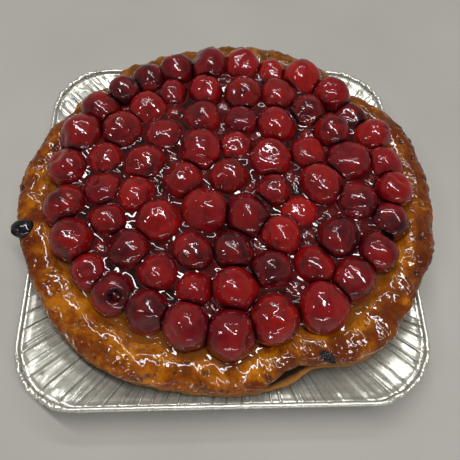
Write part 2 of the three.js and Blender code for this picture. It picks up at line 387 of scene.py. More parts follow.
def pleatColumns():
    # where each column of the sheet lies round the tray, its height in the pleats, and how much painted dark
    # reflection it takes: broad flat panels, parted by narrow ribs and grooves or by a step up or down
    settings = traySettings
    dice = random.Random(settings["seed"])
    reflectionDice = random.Random(settings["seed"] + 1)
    girth = 8 * (settings["half"] - settings["corner"]) + 2 * math.pi * settings["corner"]
    shares, heights, paintedDarkReflections = [], [], []
    place, level = 0.0, 0.0
    while place < girth - 5:  # the last panel may run a little past the start
        panel = dice.uniform(*settings["panelWidth"])
        tilt = dice.uniform(-settings["panelTilt"], settings["panelTilt"])
        for share in settings["panelStops"]:
            shares.append((place + share * panel) / girth)
            heights.append(level + tilt * (share - 0.5) + dice.uniform(-1, 1) * settings["streaks"])
            paintedDarkReflections.append(reflectionDice.uniform(*settings["paintedDarkStreaks"]))
        place += panel
        rise = dice.uniform(*settings["pleatDepth"]) * dice.choice((-1, 1))
        width = dice.uniform(*settings["ribWidth"])
        if dice.random() < settings["ribShare"]:
            for share, lift, paintedDarkReflection in settings["ribSection"]:
                shares.append((place + share * width) / girth)
                heights.append(level + rise * lift)
                paintedDarkReflections.append(paintedDarkReflection)
            place += width
        else:
            level = rise * 0.5 if level * rise <= 0 else -rise * 0.5
            place += width * settings["stepWidth"]
    return np.array(shares), np.array(heights), np.array(paintedDarkReflections), girth


def makeTray():
    settings = traySettings
    shares, pleats, paintedDarkReflections, girth = pleatColumns()
    neck = settings["half"] - 2 * settings["beadRadius"] + 0.1
    floorRings, wallRings = settings["floorRings"], settings["wallRings"]
    rings = floorRings + wallRings
    mesh = meshFrom(ringGrid(len(shares), len(rings), capFirst=True, capLast=False), "trayFoil")
    row, column = layerValues(mesh, "row"), layerValues(mesh, "column")
    points = np.zeros((len(mesh.vertices), 3))
    # the pleats wander a little from side to side as they run up the wall
    sway = noiseAt([(share * girth, 0, 0) for share in shares], 60, 2)
    lean = noiseAt([(share * girth, 30, 0) for share in shares], 25, 3)
    for index, climb in enumerate(rings):
        here = row == index
        if not here.any():
            continue
        cells = column[here]
        share = shares[cells]
        if index < len(floorRings):
            reach, corner = settings["floorHalf"] * climb, settings["floorCorner"] * climb
            spots = roundedSquare(reach, corner, share)[0]
            points[here] = np.column_stack([spots, np.full(len(spots), settings["sheet"])])
            if climb == 0:
                points[here] = (0, 0, settings["sheet"])
            continue
        reach = settings["floorHalf"] + (neck - settings["floorHalf"]) * climb
        corner = settings["floorCorner"] + (settings["corner"] - settings["floorCorner"]) * climb
        drift = (1 - climb) * (0.009 * sway[cells]) + 0.0032 * np.sin(math.pi * climb) * lean[cells]
        spots, out, cornering = roundedSquare(reach, corner, share + drift)
        wallHeight = (settings["rimHeight"] - settings["wallDrop"]) * climb
        height = np.full(len(spots), settings["sheet"] + wallHeight)
        # pleats and dents fade out at the foot and at the edge
        fade = float(smoothStep(0.0, 0.16, climb) * (1 - 0.75 * smoothStep(0.9, 1.0, climb)))
        rise = pleats[cells] * fade
        crumple = noiseAt(np.column_stack([spots, height]), 9, 5) * settings["crumple"] * fade
        height = height + (rise + crumple) * 0.87
        spots = spots - out * ((rise + crumple) * 0.5)[:, None]
        # a narrow gutter just inside the rolled edge
        height = height - settings["gutter"] * math.exp(-((climb - 0.95) / 0.03) ** 2)
        # the sheet gathers into small creases round the corners
        gathered = settings["gathering"] * cornering * float(smoothStep(0.8, 0.92, climb))
        height = height + gathered * noiseAt(np.column_stack([spots, height * 0.4]), 2.4, 6)
        points[here] = np.column_stack([spots, height])
    setPoints(mesh, points)
    faceOutwards(mesh)
    onWall = (row >= len(floorRings)) & (row < len(rings) - 2)
    # painted dark reflections on the wall: streaks across the panels and on one flank of each rib
    paint(mesh, "paintedDarkReflection", np.maximum(paintedDarkReflections[column], 0) * onWall)
    piece = finishPiece("trayFoil", mesh, foilMaterial(), ["foil_tray"])
    thicken(piece, settings["sheet"])
    makeRim()


def thicken(piece, sheet):
    shell = piece.modifiers.new("sheet", "SOLIDIFY")
    shell.thickness = sheet * metres
    shell.offset = 0


def makeRim():
    # the edge of the sheet rolled outwards and under, smooth along the sides and crumpled round the corners
    settings = traySettings
    turns, columns = settings["rimTurns"], settings["rimColumns"]
    bead, half = settings["beadRadius"], settings["half"] - settings["beadRadius"]
    mesh = meshFrom(ringGrid(columns, len(turns), capFirst=False, capLast=False), "trayRim")
    row, column = layerValues(mesh, "row"), layerValues(mesh, "column")
    turn = np.radians(np.array(turns, float))[row]
    spots, out, cornering = roundedSquare(half, settings["corner"], column / columns)
    crumple = 0.14 + 0.86 * smoothStep(0.05, 0.6, cornering)
    place = np.column_stack([spots, 1.4 * turn])
    wobble = noiseAt(place, 2.6, 7) + 0.7 * noiseAt(place, 1.2, 8)
    radius = bead * (1 + 0.12 * crumple) + settings["crimp"] * crumple * wobble * 0.6
    wave = noiseAt(np.column_stack([spots, 0 * turn]), 7, 9) * 0.5 * crumple
    spots = spots + out * (radius * np.cos(turn) + wave)[:, None]
    height = settings["rimHeight"] + radius * np.sin(turn) + wave * 0.5
    setPoints(mesh, np.column_stack([spots, height]))
    faceOutwards(mesh)
    piece = finishPiece("trayRim", mesh, foilMaterial(), ["foil_tray"])
    thicken(piece, settings["rimSheet"])


def foilMaterial():
    shade = Shader("thinFoil")
    tone = shade.ramp(shade.noise(35, 3), (0.3, (0.53, 0.52, 0.455)), (0.7, (0.63, 0.62, 0.55)))
    # painted dark reflection: streaked panels and rib flanks darkened towards near-black grey
    tone = shade.mix(shade.attribute("paintedDarkReflection"), tone, (0.13, 0.125, 0.11, 1))
    rough = shade.grade(shade.noise(220, 4), 0.3, 0.7, 0.24, 0.34)
    crinkle = shade.bump(shade.noise(420, 3, 0.6, 0.5), 0.06, 0.0003)
    dents = shade.bump(shade.noise(90, 2), 0.09, 0.0008, crinkle)
    return shade.set(
        Base_Color=tone, Metallic=0.58, Roughness=rough, Normal=dents,
        Coat_Weight=0.25, Coat_Roughness=0.06, Coat_IOR=1.6,
    )


crustSettings = {
    "centre": (1.0, 6.0),
    "reach": 121.0,
    "rightwards": 2.8,
    "backwards": 1.8,
    "sideways": 4.7,
    "features": [  # bumps and dents of the outline: angle, half width in degrees, millimetres out
        (133, 4, -6.5), (149, 9, -3.6), (41.5, 6.5, -7), (77, 12, 4.6),
        (178, 7, 2), (-128, 15, 4.3), (-48, 7, 3.6), (-70, 7.5, -8.4),
    ],
    "columns": 1100,
    "ringWidth": 22.0,
    "frontWidening": 4.0,
    "edgeUnderside": 28.4,
    "frontDrop": 4.8,
    "foldAt": -73.0,
    "foldHalfWidth": 5.0,
    "foldLift": 2.8,
    "shelf": 5.0,
    "pores": 170,
    "poreSize": (0.45, 1.45),
    "poreFromEdge": (1.5, 15),
    "cherryGap": 0.25,
    "underside": 1.5,  # height of the middle of the hidden bottom
    "inside": 20,  # height of the middle under the fruit
    "seed": 5,
}
# Half section of the rim: millimetres inwards from the edge, height above its underside. The first few make
# the thin pale bottom layer, then a narrow groove, then the puffed and glazed top.
rimSection = [
    (20, -9), (10, -2), (4, -0.5), (1.2, 0.0), (0.2, 0.3), (-0.4, 0.8), (-0.3, 1.4), (0.3, 1.8),
    (1.5, 2.0), (1.9, 2.4), (1.3, 3.0), (0.6, 4.0), (0.5, 5.2), (1.1, 6.6), (2.5, 8.1), (4.6, 9.4),
    (7.2, 10.2), (10.2, 10.6), (13.5, 10.3), (17.5, 8.9), (22, 6.4), (26, 3.6), (31, -1.0), (37, -7),
]


def crustReach(angle):
    settings = crustSettings
    turn = np.radians(angle)
    smooth = settings["reach"] + settings["rightwards"] * np.cos(turn)
    smooth = smooth + settings["backwards"] * np.sin(turn) + settings["sideways"] * np.cos(2 * turn)
    for at, halfWidth, out in settings["features"]:
        smooth = smooth + out * bump(angle, at, halfWidth)
    return smooth


def rimUnderside(angle):
    front = np.maximum(0, -np.sin(np.radians(angle)))
    return crustSettings["edgeUnderside"] - crustSettings["frontDrop"] * front ** 2


def clearOfFoil(x, y):
    # height that clears the tray's wall at a place
    settings = traySettings
    half, foot = settings["half"] - 3.4, settings["floorHalf"]
    across, along = np.abs(x), np.abs(y)
    share = np.zeros(len(x))
    for step in 2.0 ** -np.arange(1, 8):
        trial = share + step
        size = foot + (half - foot) * trial
        corner = 34 + 2 * trial
        overX, overY = np.maximum(across - size + corner, 0), np.maximum(along - size + corner, 0)
        outside = np.maximum(np.hypot(overX, overY) - corner, np.maximum(across, along) - size) >= 0
        share = np.where(outside, trial, share)
    return 2.4 + 25.4 * share


def rimRows():
    # places along the section, closer together where the groove and the puffed top are
    fine = []
    last = len(rimSection) - 1
    for index in range(last):
        pieces = 1 if index < 3 else 2 if index < 9 else 4 if index < 20 else 2
        fine += [index + step / pieces for step in range(pieces)]
    return fine + [last]


def makeCrust(cherries):
    settings = crustSettings
    dice = random.Random(settings["seed"])
    columns = settings["columns"]
    rows = ["under"] + rimRows() + ["inside"]
    mesh = meshFrom(ringGrid(columns, len(rows)), "pastryCrust")
    row, column = layerValues(mesh, "row"), layerValues(mesh, "column")
    angle = column * 360 / columns
    turn = np.radians(angle)
    position = np.array([0.0 if isinstance(place, str) else place for place in rows])[row]
    isUnder = row == 0
    isInside = row == len(rows) - 1
    inwards = smoothCurve(position, np.array([point[0] for point in rimSection], float))
    up = smoothCurve(position, np.array([point[1] for point in rimSection], float))
    widen = (settings["ringWidth"] - settings["frontWidening"] * np.sin(turn)) / 22
    inwards = np.where(inwards > 5, 5 + (inwards - 5) * widen, inwards)
    # the flap folded over at the front right lifts off the bottom layer, which stands out below it
    lift = bump(angle, settings["foldAt"], settings["foldHalfWidth"])
    top = smoothStep(7.5, 10.5, position)
    mouth = np.exp(-((position - 8.6) / 1.1) ** 2)
    up = up + settings["foldLift"] * lift * top * (1 - smoothStep(14, 19, position))
    shelf = settings["shelf"] * lift * (1 - smoothStep(7.4, 8.4, position))
    inwards = inwards + lift * (0.6 * top * (1 - smoothStep(13, 17, position)) + 8 * mouth) - shelf
    # outline wobble, stronger on the puffed top than on the bottom layer
    ring = np.column_stack([110 * np.cos(turn), 110 * np.sin(turn), 0 * angle])
    ruffle = noiseAt(ring, 16, 1, 2)
    inwards = inwards - ruffle * (0.8 + 0.9 * top) + noiseAt(ring, 4.5, 4) * 0.55 * (1 - top)
    reach = crustReach(angle) - inwards
    x = settings["centre"][0] + reach * np.cos(turn)
    y = settings["centre"][1] + reach * np.sin(turn)
    points = np.column_stack([x, y, rimUnderside(angle) + up])
    # puffs, blisters and fine grain on the top
    onTop = smoothStep(9, 12, position) * (1 - smoothStep(21, 23, position))
    smoothInside = 1 - 0.75 * smoothStep(17, 20, position)
    rough = 1 - smoothStep(14, 18, position)
    crease = 0.28 - np.abs(noiseAt(points, 15, 6))
    puff = noiseAt(points, 24, 2) * 1.5 + (crease * 2.4 + noiseAt(points, 8, 3) * 0.55) * smoothInside
    coarse, fine = noiseAt(points, 4.2, 4, 2), noiseAt(points, 2.2, 9)
    grain = coarse * (0.16 + 0.50 * rough) + fine * (0.05 + 0.20 * rough)
    points[:, 2] += onTop * (puff + grain)
    outward = np.column_stack([np.cos(turn), np.sin(turn)])
    sideways = onTop * (1 - smoothStep(13, 17, position)) * (puff * 0.35 + grain * 0.9)
    points[:, :2] += outward * sideways[:, None]
    pores = pressPores(points, onTop, dice)
    # cherries press dents into the inner slope
    for centre, radius in cherries:
        away = np.hypot(points[:, 0] - centre[0], points[:, 1] - centre[1])
        limit = centre[2] - np.sqrt(np.maximum(radius ** 2 - away ** 2, 0)) - settings["cherryGap"]
        dented = np.minimum(points[:, 2], np.maximum(limit, settings["inside"]))
        points[:, 2] = np.where((away < radius) & (position > 12), dented, points[:, 2])
    raised = np.maximum(points[:, 2], clearOfFoil(points[:, 0], points[:, 1]))
    points[:, 2] = np.where((position < 4) & ~isUnder, raised, points[:, 2])
    points[isUnder] = (0, 0, settings["underside"])
    points[isInside] = (*settings["centre"], settings["inside"])
    setPoints(mesh, points)
    faceOutwards(mesh)
    paint(mesh, "section", position / (len(rimSection) - 1))
    # depth in the pits, which the crust's colour uses as painted shade
    paint(mesh, "poreShade", pores)
    # painted shadow in the mouth under the folded flap
    foldMouthShadow = 2.4 * lift * smoothStep(6.9, 7.7, position) * (1 - smoothStep(9.4, 10.4, position))
    paint(mesh, "foldMouthShadow", np.minimum(foldMouthShadow, 1))
    return finishPiece("pastryCrust", mesh, crustMaterial(), ["crust"])


def pressPores(points, onTop, dice):
    # pores and small burst blisters; returns how deep in one each point lies, which the crust also paints as
    # shade
    settings = crustSettings
    least, most = settings["poreSize"]
    pores = np.zeros(len(points))
    for _ in range(settings["pores"]):
        at = dice.uniform(0, 360)
        size = least + (most - least) * dice.random() ** 2.5
        depth = 0.35 + 0.8 * size
        far = float(crustReach(at)) - dice.uniform(*settings["poreFromEdge"])
        turn = math.radians(at)
        spot = np.array(settings["centre"]) + far * np.array([math.cos(turn), math.sin(turn)])
        away = np.hypot(points[:, 0] - spot[0], points[:, 1] - spot[1])
        near = np.exp(-(away / size) ** 2) * onTop
        points[:, 2] -= depth * near
        pores = np.maximum(pores, near)
    return pores


def smoothCurve(position, values):
    # Catmull-Rom through evenly numbered values
    index = np.clip(np.floor(position).astype(int), 0, len(values) - 2)
    share = position - index
    before = values[np.maximum(index - 1, 0)]
    here, there = values[index], values[index + 1]
    after = values[np.minimum(index + 2, len(values) - 1)]
    return 0.5 * (
        2 * here + (there - before) * share + (2 * before - 5 * here + 4 * there - after) * share ** 2
        + (3 * here - before - 3 * there + after) * share ** 3
    )


def crustMaterial():
    shade = Shader("glazedCrust")
    section = shade.attribute("section")
    place = shade.add("SeparateXYZ", Vector=shade.place()).outputs
    patches = shade.noise(75, 6, 0.68)
    edge = shade.math("ADD", section, shade.math("MULTIPLY", shade.noise(60, 4, 0.65), 0.22))

    # darkens towards a colour: real stains, and also painted shade in the pits, the fold's mouth and on the
    # left side
    def stainAndShade(tone, factor, *shown):
        return shade.mix(factor, tone, (*colour(*shown), 1))

    def product(first, second):
        return shade.math("MULTIPLY", first, second)

    outer = shade.ramp(
        patches,
        (0.38, colour(92, 40, 2)), (0.46, colour(126, 60, 2)),
        (0.55, colour(158, 85, 2)), (0.64, colour(190, 114, 8)),
    )
    inner = shade.ramp(
        patches, (0.40, colour(114, 55, 0)), (0.5, colour(154, 84, 0)), (0.60, colour(188, 114, 4))
    )
    tone = shade.mix(shade.grade(edge, 0.76, 0.92), outer, inner)
    freckles = shade.ramp(shade.noise(230, 5, 0.7), (0.36, (1, 1, 1)), (0.46, (0, 0, 0)))
    tone = stainAndShade(tone, product(freckles, shade.grade(edge, 0.92, 0.70, 0.12, 0.55)), 62, 22, 6)
    # darker baked patches, most of them at the right
    baked = shade.math("ADD", shade.noise(52, 5, 0.7), shade.grade(place["X"], -0.06, 0.125, -0.06, 0.21))
    baked = product(shade.grade(baked, 0.55, 0.64, 0.0, 0.85), shade.grade(edge, 1.04, 0.84, 0.0, 0.85))
    tone = stainAndShade(tone, baked, 84, 28, 8)
    # painted shade: the left side darker, as it slopes away from the light
    leftSideShade = product(shade.grade(place["X"], -0.045, -0.105), shade.grade(patches, 0.40, 0.6, 0.9, 0.35))
    tone = stainAndShade(tone, leftSideShade, 92, 30, 2)
    farSide = product(shade.grade(place["Y"], 0.05, 0.1), shade.grade(patches, 0.42, 0.6, 0.9, 0.25))
    tone = stainAndShade(tone, farSide, 98, 56, 2)
    juice = shade.grade(shade.noise(95, 4, 0.6), 0.42, 0.6, 0.15, 0.8)
    tone = stainAndShade(tone, product(shade.grade(section, 0.80, 0.9), juice), 112, 62, 6)
    biscuit = shade.ramp(section, (0.32, (1, 1, 1)), (0.37, (0, 0, 0)))
    tone = stainAndShade(tone, product(biscuit, 0.9), 146, 98, 46)
    # painted shade inside the pits, darker where they are deeper
    tone = stainAndShade(tone, product(shade.attribute("poreShade"), 0.9), 34, 12, 6)
    # painted shadow in the mouth under the folded flap
    tone = stainAndShade(tone, shade.attribute("foldMouthShadow"), 30, 18, 8)
    wet = shade.grade(section, 0.34, 0.42, 0.0, 1.0)
    grain = shade.bump(shade.noise(560, 4, 0.6), 0.3, 0.0006)
    pitted = shade.bump(shade.noise(300, 1.5, 0.5), shade.grade(edge, 0.95, 0.70, 0.10, 0.32), 0.0012)
    ripple = shade.bump(shade.noise(140, 1.5, 0.4), 0.2, 0.0013, pitted)
    return shade.set(
        Base_Color=tone, Roughness=0.6, Normal=grain, Specular_IOR_Level=0.06,
        Coat_Weight=wet, Coat_Roughness=0.02, Coat_IOR=1.4, Coat_Normal=ripple,
    )


cherrySettings = {
    "pitted": "cherry_16",
    "pitTilt": (22, 10),  # degrees
    "pitDepth": 0.5,  # of the radius
    "leastSwell": 1.03,
    "smallest": 10.6,
    "mostSwell": 1.55,
    "largest": 14.2,
    "sizeSpread": (0.86, 1.04),
    "wander": 1.9,
    "heights": (-1.6, 1.2),
    "highest": 55.0,
    "closeness": 0.86,
    "addedCount": 22,
    "smallestAdded": 7.8,
    "largestAdded": 11.5,
    "addedOverlap": 0.8,
    "addedCaution": 1.08,
    "sunkCount": 34,
    "sunkBelow": 3.0,
    "smallestSunk": 5.8,
    "largestSunk": 11.0,
    "sunkOverlap": 4.2,
    "lean": 62,
    "dimple": (0.07, 0.18),
    "dimpleWidth": 0.42,
    "seam": (0.045, 0.12),  # depth and width
    "lumps": ((0.085, 0.9, 0), (0.030, 0.40, 0.5), (0.006, 0.16, 0.7)),  # height, length, shift
    "pitEdge": (0.24, 0.40),
    "pitShade": (0.88, 0.96),
    "flatness": (0.90, 1.0),
    "touchGap": 0.12,
    "creviceShadeReach": 1.5,
    "nearby": (1.5, 4),  # gaps up to which a neighbour can press, and can cast painted shade
    "redShare": 0.2,
    "crimsonShare": 0.48,
    "seed": 3,
}
settlingSettings = {  # how the fruit grows and moves apart, each round
    "rounds": 220,
    "growth": 0.05,
    "shrinking": 0.12,
    "push": 0.2,
    "upwards": 1.7,
    "pullBack": 0.03,
    "restShare": 0.8,
    "below": 2.6,
    "above": 1.6,
}
heapSettings = {  # the oval that fruit may fill, and the grid on which its gaps are looked for
    "centre": (2.8, 11.5),
    "reach": 99.5,
    "width": 1.088,
    "across": (-104, 110),
    "along": (-84, 114),
    "step": 1.5,
}


def roomyPlaces(places, radii, level, overlap, largest, smallest, count):
    # the widest gaps between fruit, largest first, at a height
    heap = heapSettings
    solid = list(zip(places, radii))
    columns, rows = (np.arange(*heap[side], heap["step"]) for side in ("across", "along"))
    across, along = (grid.ravel() for grid in np.meshgrid(columns, rows))
    fromCentre = np.hypot((across - heap["centre"][0]) / heap["width"], along - heap["centre"][1])
    found = []
    for _ in range(count):
        room = np.minimum(heap["reach"] - fromCentre, largest)
        for centre, radius in solid:
            aside = (across - centre[0]) ** 2 + (along - centre[1]) ** 2
            distance = np.sqrt(aside + (level - centre[2]) ** 2)
            room = np.minimum(room, distance - radius + overlap)
        best = int(np.argmax(room))
        if room[best] < smallest:
            break
        solid.append((np.array([across[best], along[best], level]), float(room[best])))
        found.append(solid[-1])
    return found


def wholeCherries():
    # the fruit where the frame has it and in the wide gaps between
    settings = cherrySettings
    dice = random.Random(settings["seed"])
    names = sorted(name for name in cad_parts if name.startswith("cherry_") and name != "cherry_jelly")
    boxes = [nodeBox(name) for name in names]
    start = np.array([centre for centre, _ in boxes])
    radii = np.array([0.25 * (size[0] + size[1]) for _, size in boxes])
    level = float(np.median(start[:, 2]))
    added = roomyPlaces(
        start, radii * settings["addedCaution"], level, settings["addedOverlap"],
        settings["largestAdded"], settings["smallestAdded"], settings["addedCount"],
    )
    start = np.vstack([start] + [centre for centre, _ in added])
    radii = np.append(radii, [radius for _, radius in added])
    steps = np.array([(dice.uniform(-1, 1), dice.uniform(-1, 1)) for _ in start])
    start[:, :2] += steps * settings["wander"]
    least = np.maximum(radii * settings["leastSwell"], settings["smallest"])
    limits = settings["largest"] * np.array([dice.uniform(*settings["sizeSpread"]) for _ in start])
    most = np.maximum(np.minimum(radii * settings["mostSwell"], limits), least)
    lifts = np.array([dice.uniform(*settings["heights"]) for _ in start])
    return names, *settled(start, radii, least, most, lifts)


def settled(start, radii, least, most, lifts):
    # the fruit grows a little and moves apart until each presses on its neighbours, some higher than others
    settings, pace = cherrySettings, settlingSettings
    grown = least.copy()
    places = start.copy()
    places[:, 2] += lifts
    for _ in range(pace["rounds"]):
        gaps = places[:, None] - places[None]
        distance = np.linalg.norm(gaps, axis=2) + np.eye(len(start))
        squeeze = np.maximum(settings["closeness"] * (grown[:, None] + grown[None]) - distance, 0)
        np.fill_diagonal(squeeze, 0)
        grown = np.clip(grown + pace["growth"] - pace["shrinking"] * squeeze.sum(1), least, most)
        away = (gaps / distance[..., None] * squeeze[..., None]).sum(1)
        places += away * pace["push"] * (1, 1, pace["upwards"])
        places[:, :2] += pace["pullBack"] * (start[:, :2] - places[:, :2])
        rest = start[:, 2] + pace["restShare"] * (grown - radii)
        places[:, 2] = np.clip(places[:, 2], rest - pace["below"], rest + pace["above"])
        places[:, 2] = np.minimum(places[:, 2], settings["highest"] - 0.97 * grown)
    return places, grown


def sunkCherries(places, radii):
    # what gaps are left hold fruit that lies lower, mostly under the glaze
    settings = cherrySettings
    level = float(np.median(places[:, 2])) - settings["sunkBelow"]
    return roomyPlaces(
        places, radii, level, settings["sunkOverlap"],
        settings["largestSunk"], settings["smallestSunk"], settings["sunkCount"],
    )


def randomSpin(dice, lean):
    turn = Matrix.Rotation(dice.uniform(0, 2 * math.pi), 3, "Z")
    tip = Matrix.Rotation(math.radians(dice.uniform(0.15, 1) * lean), 3, "X")
    return np.array(turn @ tip @ Matrix.Rotation(dice.uniform(0, 2 * math.pi), 3, "Z"))


def cherryPoints(unit, radius, spin, seed, dimple, flatness, hole):
    # one fruit: a ball with a stem dimple, a faint seam down one side, uneven cheeks and soft wrinkles
    settings = cherrySettings
    pole = np.arccos(np.clip(unit[:, 2], -1, 1))
    size = 1 - dimple * np.exp(-(pole / settings["dimpleWidth"]) ** 2)
    depth, width = settings["seam"]
    size -= depth * np.exp(-(unit[:, 1] / width) ** 2) * np.maximum(unit[:, 0], 0) ** 0.5
    for height, length, shift in settings["lumps"]:
        size += height * noiseAt(unit, length, seed + shift)
    size -= hole * (1 - smoothStep(*settings["pitEdge"], pole))
    stretch = (1 + 0.06 * math.sin(7.1 * seed), 1 + 0.05 * math.sin(11.3 * seed + 1), flatness)
    return (unit * size[:, None] * radius * stretch) @ spin.T


def pressed(points, index, places, radii):
    # the skin is flat where a neighbour presses on it
    gaps = places - places[index]
    distances = np.linalg.norm(gaps, axis=1)
    near = distances < radii + radii[index] + cherrySettings["nearby"][0]
    for other in np.nonzero((distances > 0) & near)[0]:
        along = gaps[other] / distances[other]
        wall = (distances[other] ** 2 + radii[index] ** 2 - radii[other] ** 2) / (2 * distances[other])
        over = points @ along - (wall - cherrySettings["touchGap"])
        points = points - np.maximum(over, 0)[:, None] * along
    return points


def shaded(points, index, places, radii):
    # how close the skin lies to its nearest neighbour, 1 where they touch; painted as shade in the crevices
    distances = np.linalg.norm(places - places[index], axis=1)
    near = distances < radii + radii[index] + cherrySettings["nearby"][1]
    closest = np.full(len(points), 9.0)  # far enough to leave no painted shade
    for other in np.nonzero(near)[0]:
        if other != index:
            closest = np.minimum(closest, np.linalg.norm(points - places[other], axis=1) - radii[other])
    return np.exp(-(np.maximum(closest, 0) / cherrySettings["creviceShadeReach"]) ** 2)


def pitSpin():
    # the pitted fruit's hole faces up, tipped a little
    back, side = (math.radians(angle) for angle in cherrySettings["pitTilt"])
    return np.array(Matrix.Rotation(back, 3, "X") @ Matrix.Rotation(side, 3, "Y"))


def makeCherries():
    settings = cherrySettings
    dice = random.Random(settings["seed"] + 1)
    names, places, radii = wholeCherries()
    sunk = sunkCherries(places, radii)
    count = len(places)
    places = np.vstack([places] + [centre for centre, _ in sunk])
    radii = np.append(radii, [radius for _, radius in sunk])
    groups = {"cherriesRed": [], "cherriesCrimson": [], "cherriesWine": []}
    upToCrimson = settings["redShare"] + settings["crimsonShare"]
    for index in range(count):
        draw = dice.random()
        kind = "Red" if draw < settings["redShare"] else "Crimson" if draw < upToCrimson else "Wine"
        groups["cherries" + kind].append(index)
    groups["cherriesSunk"] = list(range(count, len(radii)))
    for groupName, members in groups.items():
        bm = bmesh.new()
        shapes, tones, creviceShades = [], [], []
        for index in members:
            made = bmesh.ops.create_icosphere(bm, subdivisions=5, radius=1)["verts"]
            unit = np.array([vert.co.normalized() for vert in made])
            spin = randomSpin(dice, settings["lean"])
            dimple, flatness = dice.uniform(*settings["dimple"]), dice.uniform(*settings["flatness"])
            pitted = index < len(names) and names[index] == settings["pitted"]
            if pitted:
                spin = pitSpin()
            hole = settings["pitDepth"] if pitted else 0
            shape = cherryPoints(unit, radii[index], spin, index * 0.37, dimple, flatness, hole)
            shapes.append(pressed(shape, index, places, radii) + places[index])
            tones += [dice.random()] * len(made)
            # painted shade in the crevices next to neighbouring fruit
            creviceShades.append(shaded(shapes[-1], index, places, radii))
            # painted shade inside the pit hole
            if pitted:
                creviceShades[-1] = np.maximum(creviceShades[-1], smoothStep(*settings["pitShade"], unit[:, 2]))
        mesh = meshFrom(bm, groupName)
        setPoints(mesh, np.vstack(shapes))
        faceOutwards(mesh)
        paint(mesh, "tone", tones)
        paint(mesh, "creviceShade", np.concatenate(creviceShades))
        nodes = [names[index] for index in members if index < len(names)]
        finishPiece(groupName, mesh, cherryMaterial(groupName), nodes)
    return list(zip(places, radii))


cherrySkins = {  # dark and light ends of each kind of skin, as seen on a screen
    "cherriesRed": ((64, 1, 3), (146, 8, 8)),
    "cherriesCrimson": ((54, 0, 4), (130, 4, 11)),
    "cherriesWine": ((42, 0, 6), (108, 2, 15)),
    "cherriesSunk": ((46, 3, 4), (92, 10, 9)),
}


def cherryMaterial(name):
    deep, bright = cherrySkins[name]
    shade = Shader(name + "Skin")
    blotches = shade.math("MULTIPLY", shade.noise(110, 4, 0.6, 0.8), 1.3)
    tone = shade.math("ADD", shade.math("MULTIPLY", shade.attribute("tone"), 0.3), blotches)
    skin = shade.ramp(tone, (0.50, colour(*deep)), (1.0, colour(*bright)))
    warm = shade.grade(shade.noise(62, 2, 0.5), 0.48, 0.64, 0.0, 0.45)
    skin = shade.mix(warm, skin, (*colour(146, 14, 4), 1))
    veins = shade.ramp(shade.noise(420, 5, 0.7, 1.5), (0.30, (1, 1, 1)), (0.42, (0, 0, 0)))
    skin = shade.mix(shade.math("MULTIPLY", veins, 0.3), skin, (*colour(48, 2, 8), 1))
    # painted shade where fruit touch and inside the pit hole, darkening the skin towards near black
    skin = shade.mix(shade.math("MULTIPLY", shade.attribute("creviceShade"), 0.85), skin, (*colour(16, 0, 2), 1))
    fine = shade.bump(shade.noise(520, 1, 0.4), 0.25, 0.0005)
    ripple = shade.bump(shade.noise(170, 1.5, 0.4, 0.5), 0.42, 0.0012, fine)
    return shade.set(
        Base_Color=skin, Roughness=0.5, Specular_IOR_Level=0.12,
        Subsurface_Weight=0.25, Subsurface_Radius=(0.0030, 0.0004, 0.0003), Subsurface_Scale=1.0,
        Coat_Weight=1.0, Coat_Roughness=0.012, Coat_IOR=1.52, Coat_Normal=ripple,
    )


glazeSettings = {
    "centre": (3.5, 13),
    "cell": 0.75,
    "cells": 292,
    "roll": 4.6,
    "pool": 44.7,
    "poolWander": 3.0,
    "poolTilt": 0.010,
    "poolRipple": 0.38,
    "poolLength": 30,
    "rippleLength": 7.5,
    "edgeDrop": 9,
    "drops": (20, 36),  # from the crust's edge, where the pool falls away
    "amber": (26, 34),  # from the crust's edge, where pastry shines through
    "fromCrustEdge": 13,
    "deepest": 6,  # deeper glaze looks no darker
    "blend": 0.9,
    "film": 0.16,
    "floor": 28.6,
}


def surfaceUnder(points, pieces, lowest=20.0, above=0.08):
    # height of the topmost surface under each point, and which piece it belongs to
    heights = np.full(len(points), lowest)
    owner = np.full(len(points), -1)
    down = Vector((0, 0, -1))
    for which, piece in enumerate(pieces):
        bm = bmesh.new()
        bm.from_mesh(piece.data)
        tree = BVHTree.FromBMesh(bm)
        bm.free()
        for index, (x, y) in enumerate(points):
            hit = tree.ray_cast(Vector((x * metres, y * metres, above)), down)[0]
            if hit is not None and hit.z / metres > heights[index]:
                heights[index] = hit.z / metres
                owner[index] = which
    return heights, owner


def rolled(grid, cell, ball):
    # the surface that a rolling ball leaves, which bridges crevices with a round hollow
    reach = int(ball / cell)
    span = range(-reach, reach + 1)
    steps = [(i, j) for i in span for j in span if math.hypot(i, j) * cell < ball]

    def sweep(field, sign, choose):
        padded = np.pad(field, reach, mode="edge")
        best = np.full(field.shape, -sign * np.inf)
        for i, j in steps:
            drop = math.sqrt(ball ** 2 - (i ** 2 + j ** 2) * cell ** 2)
            moved = padded[reach + i:reach + i + field.shape[0], reach + j:reach + j + field.shape[1]]
            best = choose(best, moved + sign * drop)
        return best

    return sweep(sweep(grid, 1, np.maximum), -1, np.minimum)


